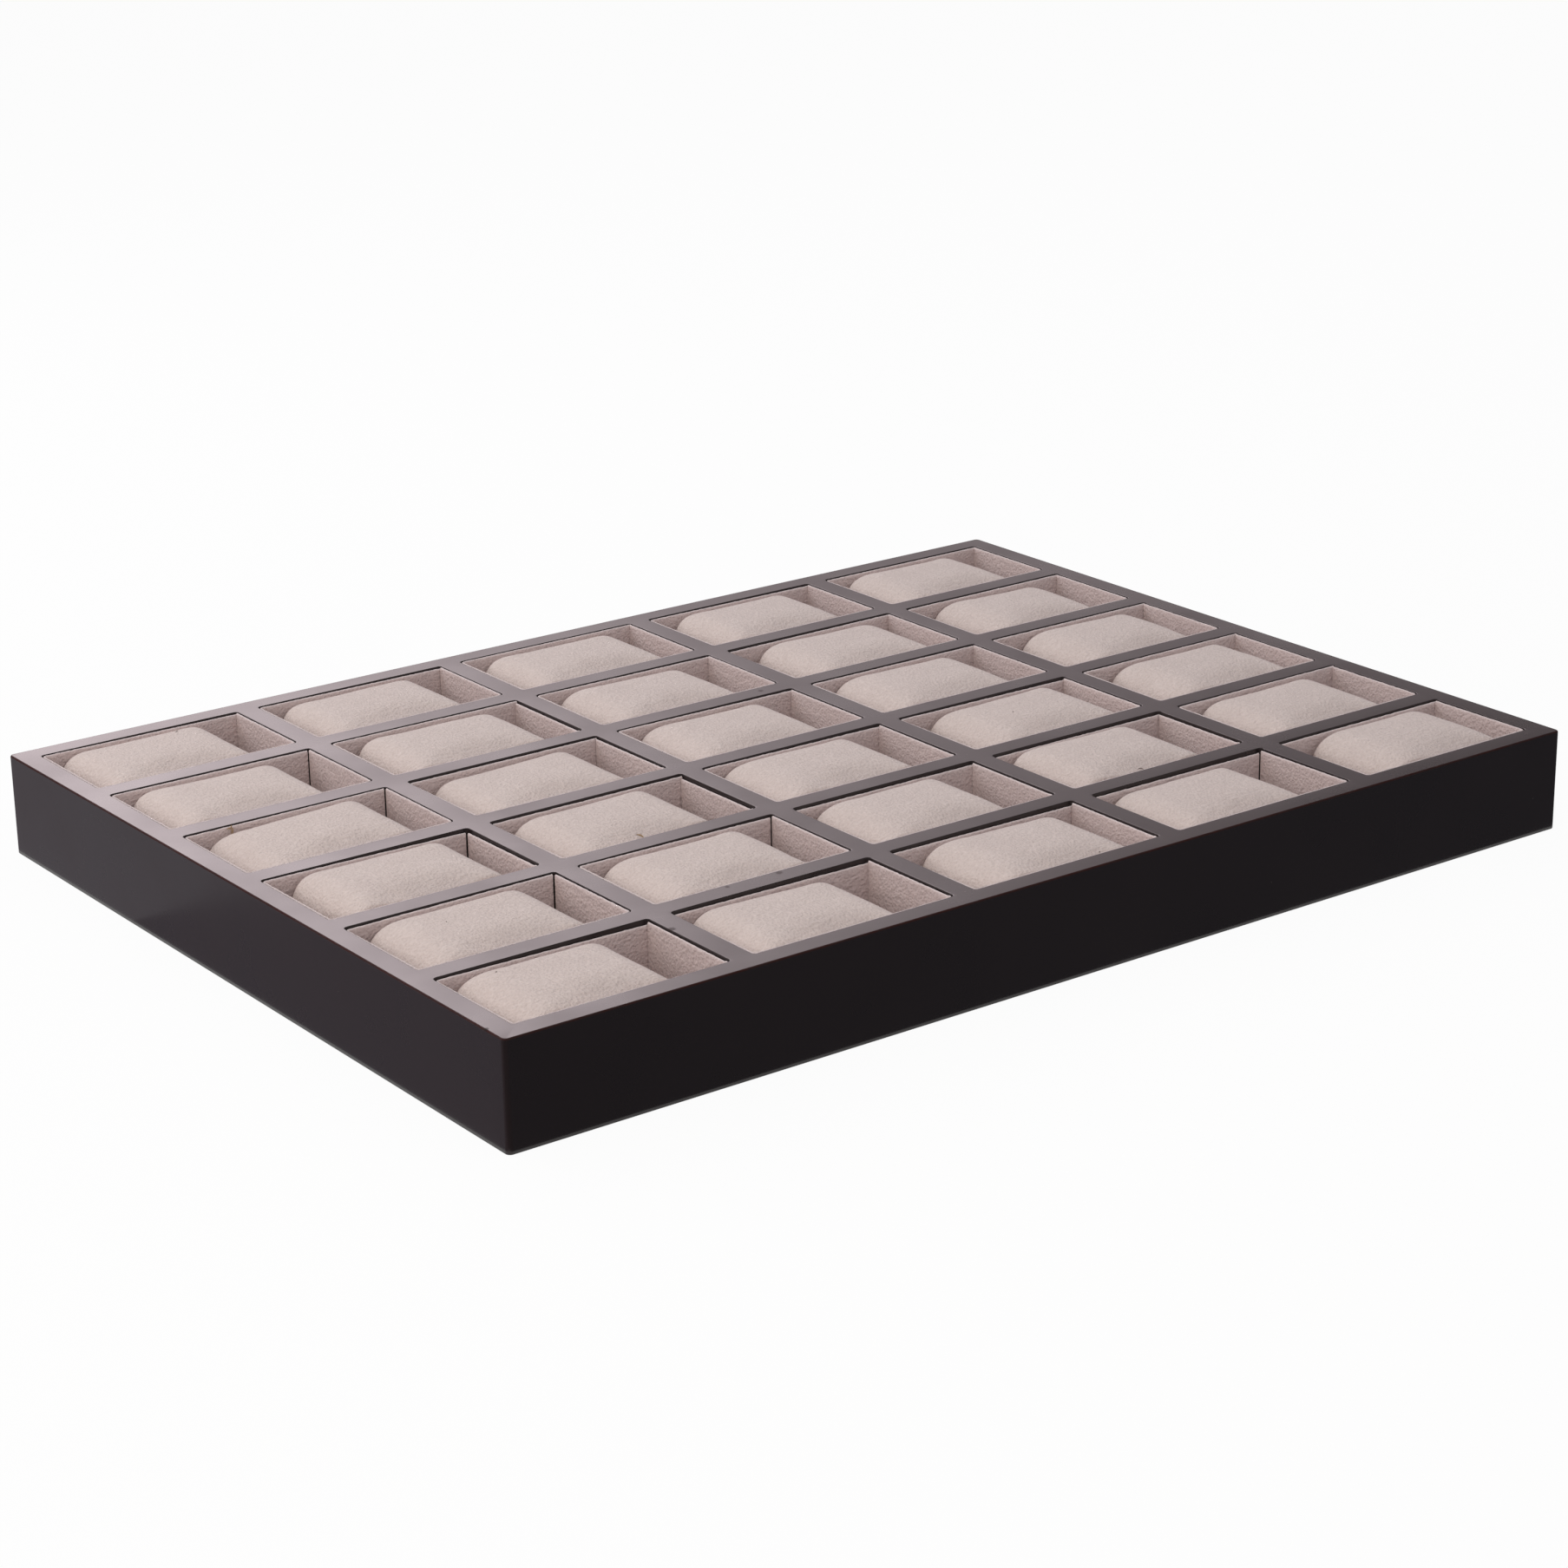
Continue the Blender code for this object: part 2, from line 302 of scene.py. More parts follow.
# Dull rub marks on the rim and one chip by the near corner, with ragged outlines: place from the tray's
# left and front, and radius, in mm
RAGGEDNESS = 1.6 * MM
MARKS = (
    (94.8, 44.2, 1.7),
    (132.3, 64.4, 1.0),
    (154.5, 64.2, 1.6),
    (271.0, 233.4, 1.4),
    (0.5, 11.0, 1.1),
)
ragged = add(
    tree,
    "ShaderNodeVectorMath",
    {"operation": "MULTIPLY_ADD", 1: (RAGGEDNESS, RAGGEDNESS, RAGGEDNESS)},
    {0: patch.outputs["Color"], 2: place},
)
marked = None
for from_left, from_front, radius in MARKS:
    centre = (
        x_lines[0] + from_left * MM + RAGGEDNESS / 2,
        y_lines[0] + from_front * MM + RAGGEDNESS / 2,
        rim + RAGGEDNESS / 2,
    )
    away = add(
        tree, "ShaderNodeVectorMath", {"operation": "DISTANCE", 1: centre}, {0: ragged.outputs["Vector"]}
    )
    inside = add(
        tree,
        "ShaderNodeMapRange",
        {"From Min": radius * MM, "From Max": 0.55 * radius * MM},
        {"Value": away.outputs["Value"]},
    ).outputs["Result"]
    if marked is None:
        marked = inside
    else:
        marked = add(tree, "ShaderNodeMath", {"operation": "MAXIMUM"}, {0: marked, 1: inside}).outputs[0]
marked_body = add(
    tree,
    "ShaderNodeMix",
    {"data_type": "RGBA", 7: colour("2B211F")},
    {0: marked, 6: dusty_body.outputs[2]},
)
tree.links.new(marked_body.outputs[2], film.inputs["Base Color"])
rubbed = add(
    tree,
    "ShaderNodeMapRange",
    {"From Min": 0.3, "From Max": 0.7, "To Min": 0.24, "To Max": 0.36},
    {"Value": cloud.outputs["Fac"]},
)
dulled = add(
    tree,
    "ShaderNodeMath",
    {"operation": "MULTIPLY_ADD", 1: 0.25},
    {0: marked, 2: rubbed.outputs["Result"]},
)
bared = add(
    tree,
    "ShaderNodeMath",
    {"operation": "MULTIPLY_ADD", 1: 0.6},
    {0: wear.outputs["Fac"], 2: dulled.outputs[0]},
)
tree.links.new(bared.outputs[0], film.inputs["Roughness"])
peel = add(tree, "ShaderNodeTexNoise", {"Scale": 1 / ORANGE_PEEL, "Detail": 2.0}, {"Vector": place})
peel_bump = add(
    tree,
    "ShaderNodeBump",
    {"Strength": 0.25, "Distance": 0.02 * MM},
    {"Height": peel.outputs["Fac"]},
)
tree.links.new(peel_bump.outputs["Normal"], film.inputs["Normal"])

carcass = piece_from(carcass_shape, "lacquered_carcass", lacquer)
carcass.data.shade_smooth()
carcass.modifiers.new("flat faces stay flat", "WEIGHTED_NORMAL").keep_sharp = True
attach(carcass, "root")
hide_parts("front_wall", "back_wall", "left_wall", "right_wall")
for column in range(columns - 1):
    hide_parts(f"cross_divider_{column}")
for row in range(rows - 1):
    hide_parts(f"long_divider_{row}")

# Base. A sheet of 3 mm hardboard let in between the walls and glued under the dividers, brushed with dark
# primer below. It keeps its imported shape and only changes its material.

# Primed hardboard, smooth pressed side out: dull paint over a fine fibrous felt that shows as a low mottle
# The brush strokes are 2 mm wide and run along X
FELT_MOTTLE = 1.2 * MM
STROKE_WIDTH = 2 * MM
STROKE_SHAPE = (0.08, 1.0, 1.0)
hardboard = bpy.data.materials.new("primed_hardboard")
hardboard.use_nodes = True
tree = hardboard.node_tree
paint = tree.nodes["Principled BSDF"]
paint.inputs["Roughness"].default_value = 0.6
place = add(tree, "ShaderNodeTexCoord").outputs["Object"]
felt = add(tree, "ShaderNodeTexNoise", {"Scale": 1 / FELT_MOTTLE, "Detail": 6.0}, {"Vector": place})
brushed = add(tree, "ShaderNodeMapping", {"Scale": STROKE_SHAPE}, {"Vector": place})
strokes = add(
    tree,
    "ShaderNodeTexNoise",
    {"Scale": 1 / STROKE_WIDTH, "Detail": 3.0},
    {"Vector": brushed.outputs["Vector"]},
)
primed = add(
    tree,
    "ShaderNodeMix",
    {"data_type": "RGBA", 6: colour("1E1917"), 7: colour("2C2522")},
    {0: strokes.outputs["Fac"]},
)
tree.links.new(primed.outputs[2], paint.inputs["Base Color"])
felt_bump = add(
    tree, "ShaderNodeBump", {"Strength": 0.5, "Distance": 0.05 * MM}, {"Height": felt.outputs["Fac"]}
)
tree.links.new(felt_bump.outputs["Normal"], paint.inputs["Normal"])
base = frame["nodes"]["base_panel"]
for material_slot in base.material_slots:
    material_slot.material = hardboard

# Cell linings. Strips of grey card covered with taupe suede, folded round the inside of every cell, with
# their two ends meeting in the back right corner. They stand on one covered floor card for each row. Each
# was cut and pressed in by hand, so its edge lies a little below the rim, and more so at some corners.
STRIP_THICKNESS = 1.0 * MM
FLOOR_CARD = 1.5 * MM
STRIP_LIFT = 0.1 * MM
CARD_EDGE = 0.4 * MM
FOLD_RADIUS = 1.1 * MM
FOLD_STEPS = 3
NEAR_GAP = 0.35 * MM
NEAR_DROP = 0.2 * MM
FAR_GAP = 0.2 * MM
STEP = 1.2 * MM
FRAYING = 0.16 * MM
FRAYING_PITCH = 1.5 * MM
# Drop of the strip's edge below the rim in mm, one line a row from the front: at the left and right end of
# its back run
BACK_DROPS = (
    ((0.7, 1.8), (1.1, 1.8), (1.0, 1.7), (1.2, 1.6), (0.7, 0.7)),
    ((0.7, 0.4), (0.2, 0.8), (1.0, 1.3), (1.0, 1.1), (0.2, 0.1)),
    ((0.3, 1.3), (0.8, 0.8), (0.4, 1.0), (0.5, 1.1), (0.2, 0.1)),
    ((0.4, 0.2), (0.8, 0.7), (0.2, 0.7), (0.3, 0.5), (0.3, 0.2)),
    ((0.3, 0.5), (0.2, 0.3), (0.2, 0.5), (0.8, 0.5), (0.4, 0.3)),
    ((0.2, 0.7), (0.3, 0.7), (0.1, 0.2), (0.3, 0.7), (0.3, 0.3)),
)
# The same at the back and front end of its right run
RIGHT_DROPS = (
    ((0.7, 1.1), (0.8, 0.7), (0.5, 0.8), (0.7, 0.4), (0.3, 0.2)),
    ((0.4, 0.3), (0.2, 0.4), (0.5, 0.7), (1.1, 1.0), (0.2, 0.2)),
    ((1.4, 1.1), (1.6, 1.4), (0.3, 0.5), (0.3, 0.3), (0.2, 0.2)),
    ((0.1, 0.1), (1.0, 0.7), (0.3, 0.3), (0.2, 0.2), (0.2, 0.1)),
    ((0.2, 0.1), (1.0, 1.1), (0.1, 0.1), (0.2, 0.3), (0.2, 0.2)),
    ((0.2, 0.2), (0.1, 0.1), (0.2, 0.3), (0.2, 0.3), (0.2, 0.2)),
)
# How far the two ends of each strip stand apart in mm, one line a row. Past OPEN_SLIT both ends are cut
# short of the corner, and the dark lacquer shows between them
OPEN_SLIT = 0.4 * MM
STRIP_SLITS = (
    (0.1, 0.1, 0.2, 0.7, 0.1),
    (0.9, 0.7, 0.1, 0.2, 0.1),
    (0.9, 0.2, 0.1, 0.1, 0.1),
    (0.8, 0.3, 0.1, 0.1, 0.1),
    (0.7, 0.1, 0.1, 0.1, 0.1),
    (0.1, 0.3, 0.1, 0.1, 0.1),
)
# The suede's nap, drawn as tufts 0.35 mm wide because its single fibres are too fine to show, and brushed
# paler and darker in patches. Its fine creases are slanted and about 4 mm long, a little more than real
NAP_TUFT = 0.35 * MM
NAP_PATCH = 14 * MM
CREASE_WIDTH = 1.6 * MM
CREASE_SLANT = math.radians(30)
CREASE_SHAPE = (0.4, 1.0, 1.0)


def suede(name, light, dark, grain, depth):
    """Microfibre suede: a short brushed nap that scatters light, over an embossed pebble grain."""
    cloth = bpy.data.materials.new(name)
    cloth.use_nodes = True
    tree = cloth.node_tree
    shader = tree.nodes["Principled BSDF"]
    shader.inputs["Roughness"].default_value = 0.95
    shader.inputs["Specular IOR Level"].default_value = 0.15
    shader.inputs["Sheen Weight"].default_value = 0.25
    shader.inputs["Sheen Roughness"].default_value = 0.5
    shader.inputs["Sheen Tint"].default_value = colour("E6DEE2")
    place = add(tree, "ShaderNodeTexCoord").outputs["Object"]
    pebble = add(
        tree,
        "ShaderNodeTexVoronoi",
        {"feature": "SMOOTH_F1", "Scale": 1 / grain, "Smoothness": 0.6},
        {"Vector": place},
    )
    fibre = add(tree, "ShaderNodeTexNoise", {"Scale": 1 / NAP_TUFT, "Detail": 3.0}, {"Vector": place})
    nap = add(tree, "ShaderNodeTexNoise", {"Scale": 1 / NAP_PATCH, "Detail": 3.0}, {"Vector": place})
    slanted = add(
        tree,
        "ShaderNodeMapping",
        {"Rotation": (0.0, 0.0, CREASE_SLANT), "Scale": CREASE_SHAPE},
        {"Vector": place},
    )
    crease = add(
        tree,
        "ShaderNodeTexNoise",
        {"Scale": 1 / CREASE_WIDTH, "Detail": 2.0},
        {"Vector": slanted.outputs["Vector"]},
    )
    relief = add(
        tree,
        "ShaderNodeMath",
        {"operation": "MULTIPLY_ADD", 1: 0.5},
        {0: fibre.outputs["Fac"], 2: pebble.outputs["Distance"]},
    )
    tone = add(
        tree,
        "ShaderNodeMath",
        {"operation": "MULTIPLY_ADD", 1: 0.6},
        {0: nap.outputs["Fac"], 2: relief.outputs[0]},
    )
    shade = add(
        tree, "ShaderNodeMapRange", {"From Min": 0.1, "From Max": 1.9}, {"Value": tone.outputs[0]}
    )
    dye = add(
        tree,
        "ShaderNodeMix",
        {"data_type": "RGBA", 6: colour(dark), 7: colour(light)},
        {0: shade.outputs["Result"]},
    )
    # Painted shade: darker, greyer colour on the cushion's sunken strip behind its front edge
    valley_shade_input = add(tree, "ShaderNodeAttribute", {"attribute_name": "painted_valley_shade"})
    valley_shaded = add(
        tree,
        "ShaderNodeMix",
        {"data_type": "RGBA", 7: colour("ABA09E")},
        {0: valley_shade_input.outputs["Fac"], 6: dye.outputs[2]},
    )
    # Painted highlight: paler colour on the lining strips' rolled top edges, where they catch the light
    edge_highlight_input = add(tree, "ShaderNodeAttribute", {"attribute_name": "painted_edge_highlight"})
    highlighted = add(
        tree,
        "ShaderNodeMix",
        {"data_type": "RGBA", 7: colour("E6DCDC")},
        {0: edge_highlight_input.outputs["Fac"], 6: valley_shaded.outputs[2]},
    )
    tree.links.new(highlighted.outputs[2], shader.inputs["Base Color"])
    creased = add(
        tree,
        "ShaderNodeMath",
        {"operation": "MULTIPLY_ADD", 1: 1.5},
        {0: crease.outputs["Fac"], 2: relief.outputs[0]},
    )
    bump = add(
        tree, "ShaderNodeBump", {"Strength": 0.7, "Distance": depth}, {"Height": creased.outputs[0]}
    )
    tree.links.new(bump.outputs["Normal"], shader.inputs["Normal"])
    return cloth


# Taupe microfibre suede pressed with a 1 mm pebble: matt, mauve grey, with a painted highlight where the
# strips' top edges catch the light
lining_suede = suede("taupe_microfibre_suede", "DFCFCC", "C0AEAC", 1.0 * MM, 0.5 * MM)


def strip_path(column, row):
    """Middle line of a strip, from its end in the back run to its end in the right run, with drops."""
    cell_row = row % len(STRIP_SLITS)
    cell_column = column % len(STRIP_SLITS[0])
    left_drop, corner_drop = (drop * MM for drop in BACK_DROPS[cell_row][cell_column])
    end_drop, front_drop = (drop * MM for drop in RIGHT_DROPS[cell_row][cell_column])
    slit = STRIP_SLITS[cell_row][cell_column] * MM
    half = STRIP_THICKNESS / 2
    left = x_lines[2 * column + 1] + NEAR_GAP + half
    right = x_lines[2 * column + 2] - FAR_GAP - half
    front = y_lines[2 * row + 1] + NEAR_GAP + half
    back = y_lines[2 * row + 2] - FAR_GAP - half
    open_corner = slit > OPEN_SLIT
    back_end = right - half - slit / 2 if open_corner else right + half - slit
    right_end = back - half - (slit / 2 if open_corner else slit)
    stops = (
        (Vector((back_end, back)), corner_drop),
        (Vector((left, back)), left_drop),
        (Vector((left, front)), NEAR_DROP),
        (Vector((right, front)), (NEAR_DROP + front_drop) / 2),
        (Vector((right, right_end)), end_drop),
    )
    points = []
    for index, (stop, drop) in enumerate(stops):
        if 0 < index < len(stops) - 1:
            to_last = (stops[index - 1][0] - stop).normalized()
            to_next = (stops[index + 1][0] - stop).normalized()
            centre = stop + (to_last + to_next) * FOLD_RADIUS
            for turn in range(FOLD_STEPS + 1):
                angle = math.radians(90 * turn / FOLD_STEPS)
                offset = -to_next * math.cos(angle) - to_last * math.sin(angle)
                points.append((centre + offset * FOLD_RADIUS, drop))
        else:
            points.append((stop, drop))
        if index == len(stops) - 1:
            break
        start = points[-1][0]
        following, next_drop = stops[index + 1]
        direction = (following - stop).normalized()
        shorter = FOLD_RADIUS if index < len(stops) - 2 else 0.0
        length = (following - start).dot(direction) - shorter
        count = max(2, round(length / STEP))
        first_drop = front_drop if index == len(stops) - 2 else drop
        for step in range(1, count):
            share = step / count
            between = start + direction * length * share
            points.append((between, first_drop + (next_drop - first_drop) * share))
    return points


def cell_strip(column, row):
    """One lining strip: an upright band with a soft rolled top edge, following its path."""
    points = strip_path(column, row)
    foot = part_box(f"row_lining_{row}")[0].z + FLOOR_CARD + STRIP_LIFT
    half = STRIP_THICKNESS / 2
    shape = bmesh.new()
    highlight_layer = shape.verts.layers.float.new("painted_edge_highlight")
    sections = []
    for index, (point, drop) in enumerate(points):
        before = points[max(index - 1, 0)][0]
        after = points[min(index + 1, len(points) - 1)][0]
        along = (after - before).normalized()
        inward = Vector((-along.y, along.x))
        frayed = noise.noise(Vector((point.x, point.y, 0.0)) / FRAYING_PITCH) * FRAYING
        top = rim - drop + frayed
        # Place across the strip, height and share of painted highlight on the rolled top edge, from the glued
        # side over to the open side
        profile = (
            (-half, foot, 0.0),
            (-half, (foot + top) / 2, 0.0),
            (-half, top - half, 0.0),
            (-half * 0.6, top - half * 0.3, 0.3),
            (0.0, top, 0.7),
            (half * 0.6, top - half * 0.3, 0.4),
            (half, top - half, 0.0),
            (half, top - 3 * half, 0.0),
            (half, (foot + top) / 2, 0.0),
            (half, foot, 0.0),
        )
        section = []
        for side, height, edge in profile:
            vertex = shape.verts.new((*(point + inward * side), height))
            vertex[highlight_layer] = edge
            section.append(vertex)
        sections.append(section)
    for section, following in zip(sections, sections[1:]):
        for index in range(len(section)):
            after = (index + 1) % len(section)
            shape.faces.new((section[index], section[after], following[after], following[index]))
    shape.faces.new(sections[0][::-1])
    shape.faces.new(sections[-1])
    bmesh.ops.recalc_face_normals(shape, faces=shape.faces)
    strip = piece_from(shape, f"cell_lining_c{column}_r{row}", lining_suede)
    strip.data.shade_smooth()
    strip.data.set_sharp_from_angle(angle=SHARP_ANGLE)
    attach(strip, "root")
    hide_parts(f"row_lining_{row}")


for row in range(rows):
    low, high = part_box(f"row_lining_{row}")
    card_shape = bmesh.new()
    bmesh.ops.create_cube(card_shape, size=1.0)
    size = Vector((high.x - low.x, high.y - low.y, FLOOR_CARD))
    middle = Vector(((low.x + high.x) / 2, (low.y + high.y) / 2, low.z + FLOOR_CARD / 2))
    bmesh.ops.scale(card_shape, vec=size, verts=card_shape.verts)
    bmesh.ops.translate(card_shape, vec=middle, verts=card_shape.verts)
    bevelled(card_shape, list(card_shape.edges), CARD_EDGE, 2)
    card = piece_from(card_shape, f"floor_card_r{row}", lining_suede)
    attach(card, "root")
    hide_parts(f"row_lining_{row}")
    for column in range(columns):
        cell_strip(column, row)

# Cushions. An ivory suede cover sewn round an oval foam roll, with its two flat ends against the front and
# back of the cell. The foam is a little too wide for the cell, so the cushion is squeezed in: the front
# edge is pushed flat against the lining and the top sinks behind it.
SIM_SCALE = 6.0
FOAM_PRESSURE = 4.0
SETTLING_FRAMES = 20
SWELL_ROOM = 0.5 * MM
SWELL_CAP = 0.6 * MM
STITCH_PITCH = 2.8 * MM
ROLL_RADIUS = 12.0 * MM
LEFT_SHOULDER = 11.5 * MM
RIGHT_SHOULDER = 10.5 * MM
OUTLINE_SOFTENING = 3
BACK_EDGE = 3.0 * MM
FRONT_EDGE = 1.4 * MM
EDGE_STEPS = 3
PATTERN_LENGTHS = (62 * MM, 66 * MM, 70 * MM)
PATTERN_WIDTH = 43.6 * MM
PATTERN_HEIGHT = 35.2 * MM
CROWN = 0.9 * MM
CROWN_RISES = (0.6, 1.0)
# Where the lean of a packed cushion is read: off its middle line, near its two ends
OFF_MIDDLE = 5 * MM
END_SHARE = 0.3
NAP_HEIGHT = 0.55 * MM
FRONT_ROW_LIFT = 0.35 * MM
# The sunken strip behind the front edge: its depth, its reach to the back, the share of it over the left
# shoulder, how far from the left it deepens, the shares of the length where it ends and of the height
SLUMP = 2.2 * MM
SLUMP_REACH = 16 * MM
SHOULDER_SLUMP = 0.35
SLUMP_DEEPENS = (14 * MM, 26 * MM)
SLUMP_ENDS = (0.7, 0.95)
SLUMP_RISES = (0.55, 0.95)
# Painted shade: the sunken strip is drawn darker and greyer, at this strength and from this far from the left
VALLEY_SHADE_STRENGTH = 0.28
VALLEY_SHADE_FROM = (20 * MM, 34 * MM)
# Slow unevenness of the stuffing: its size along each axis, its pitch, and the shares of the height where the
# upright part sets in
SWAY = (0.35 * MM, 0.20 * MM, 0.25 * MM)
SWAY_PITCH = 19 * MM
SWAY_RISES = (0.3, 0.9)
# Without a seed, noise_vector takes its offsets from the clock and the stuffing sways differently in each run
SWAY_SEED = 7
noise.seed_set(SWAY_SEED)
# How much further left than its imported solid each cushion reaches, in mm, one line a row from the front
LEFT_REACHES = (
    (2.5, 0.5, 3.0, 0.5, 3.0),
    (1.5, 2.0, 3.0, -0.5, 1.0),
    (-1.5, 1.0, 3.0, 1.5, 3.0),
    (1.0, -1.5, 1.5, 3.0, 3.0),
    (-1.5, -1.5, 1.5, 0.5, 3.0),
    (-1.0, -1.5, -1.5, -1.0, 1.0),
)
REACH_END = 16 * MM
SIDE_ROOM = 0.2 * MM

# Ivory microfibre suede pressed with the same 1 mm pebble: matt and creamy, greyer at low angles
cushion_suede = suede("ivory_microfibre_suede", "E4D7D1", "CABBB5", 1.0 * MM, 0.5 * MM)


def roll_outline(length, inset):
    """Side view of the foam roll, X by Z, as a closed row of points with softened shoulders."""
    half = length / 2 - inset
    left = LEFT_SHOULDER - inset
    right = RIGHT_SHOULDER - inset
    low = inset
    high = PATTERN_HEIGHT - inset
    turns = round(math.pi / 2 * ROLL_RADIUS / STITCH_PITCH)
    across = round((length - 2 * ROLL_RADIUS) / STITCH_PITCH)
    upward = round((PATTERN_HEIGHT - 2 * ROLL_RADIUS) / STITCH_PITCH)
    corners = (
        (half - right, low + right, right, -90, upward),
        (half - right, high - right, right, 0, across),
        (left - half, high - left, left, 90, upward),
        (left - half, low + left, left, 180, across),
    )
    points = []
    for index, (centre_x, centre_z, radius, start, run) in enumerate(corners):
        for step in range(turns + 1):
            angle = math.radians(start + 90 * step / turns)
            x = centre_x + radius * math.cos(angle)
            z = centre_z + radius * math.sin(angle)
            points.append(Vector((x, z)))
        last = points[-1]
        next_x, next_z, next_radius, next_start, _ = corners[(index + 1) % len(corners)]
        turn = math.radians(next_start)
        next_x += next_radius * math.cos(turn)
        next_z += next_radius * math.sin(turn)
        following = Vector((next_x, next_z))
        for step in range(1, run):
            points.append(last.lerp(following, step / run))
    for _ in range(OUTLINE_SOFTENING):
        points = [
            (points[index - 1] + 2 * point + points[(index + 1) % len(points)]) / 4
            for index, point in enumerate(points)
        ]
    return points


def smooth(low, high, value):
    """0 below low and 1 above high, with a soft change between."""
    share = min(max((value - low) / (high - low), 0.0), 1.0)
    return share * share * (3 - 2 * share)


def sewn_cover(length):
    """Cover of one size of cushion, blown up a little by its foam, centred over its underside."""
    half_width = PATTERN_WIDTH / 2 - SWELL_ROOM
    front_rings = []
    back_rings = []
    for step in range(EDGE_STEPS + 1):
        angle = math.radians(90 * step / EDGE_STEPS)
        across = 1 - math.cos(angle)
        inset = 1 - math.sin(angle)
        front_rings.append((FRONT_EDGE * across - half_width, FRONT_EDGE * inset))
        back_rings.append((half_width - BACK_EDGE * across, BACK_EDGE * inset))
    middle_start = front_rings[-1][0]
    middle_end = back_rings[-1][0]
    count = round((middle_end - middle_start) / STITCH_PITCH)
    middle_rings = [
        (middle_start + (middle_end - middle_start) * step / count, 0.0) for step in range(1, count)
    ]
    shape = bmesh.new()
    rings = []
    for share in (0.25, 0.5, 0.75):
        rings.append((front_rings[0][0], front_rings[0][1], share))
    rings += [(y, inset, 1.0) for y, inset in front_rings + middle_rings + back_rings[::-1]]
    for share in (0.75, 0.5, 0.25):
        rings.append((back_rings[0][0], back_rings[0][1], share))
    centre = Vector((0.0, PATTERN_HEIGHT / 2))
    sections = []
    for y, inset, share in rings:
        section = []
        for point in roll_outline(length, inset + SWELL_ROOM):
            x, z = centre.lerp(point, share)
            along = max(1 - (2 * x / (length - ROLL_RADIUS)) ** 2, 0.0)
            across = 1 - (2 * y / PATTERN_WIDTH) ** 2
            crown = CROWN * along * across * smooth(*CROWN_RISES, z / PATTERN_HEIGHT)
            section.append(shape.verts.new((x, y, z + crown)))
        sections.append(section)
    for section, following in zip(sections, sections[1:]):
        for index in range(len(section)):
            after = (index + 1) % len(section)
            shape.faces.new((section[index], section[after], following[after], following[index]))
    shape.faces.new(sections[0][::-1])
    shape.faces.new(sections[-1])
    bmesh.ops.recalc_face_normals(shape, faces=shape.faces)
    bmesh.ops.scale(shape, vec=(SIM_SCALE, SIM_SCALE, SIM_SCALE), verts=shape.verts)
    cover = piece_from(shape, "cushion_cover_pattern")
    mesh = cover.data
    cloth = cover.modifiers.new("foam pressure", "CLOTH")
    cloth.settings.use_pressure = True
    cloth.settings.uniform_pressure_force = FOAM_PRESSURE
    cloth.settings.effector_weights.gravity = 0.0
    cloth.point_cache.frame_start = 1
    cloth.point_cache.frame_end = SETTLING_FRAMES
    for frame_number in range(1, SETTLING_FRAMES + 1):
        bpy.context.scene.frame_set(frame_number)
    depsgraph = bpy.context.evaluated_depsgraph_get()
    swollen = [vertex.co.copy() for vertex in cover.evaluated_get(depsgraph).data.vertices]
    cap = SWELL_CAP * SIM_SCALE
    for vertex, blown in zip(mesh.vertices, swollen):
        move = blown - vertex.co
        if move.length > cap:
            move *= cap / move.length
        vertex.co += move
    cover.modifiers.clear()
    bpy.context.scene.frame_set(1)
    mesh.transform(Matrix.Scale(1 / SIM_SCALE, 4))
    bpy.data.objects.remove(cover)
    return mesh


covers = {length: sewn_cover(length) for length in PATTERN_LENGTHS}


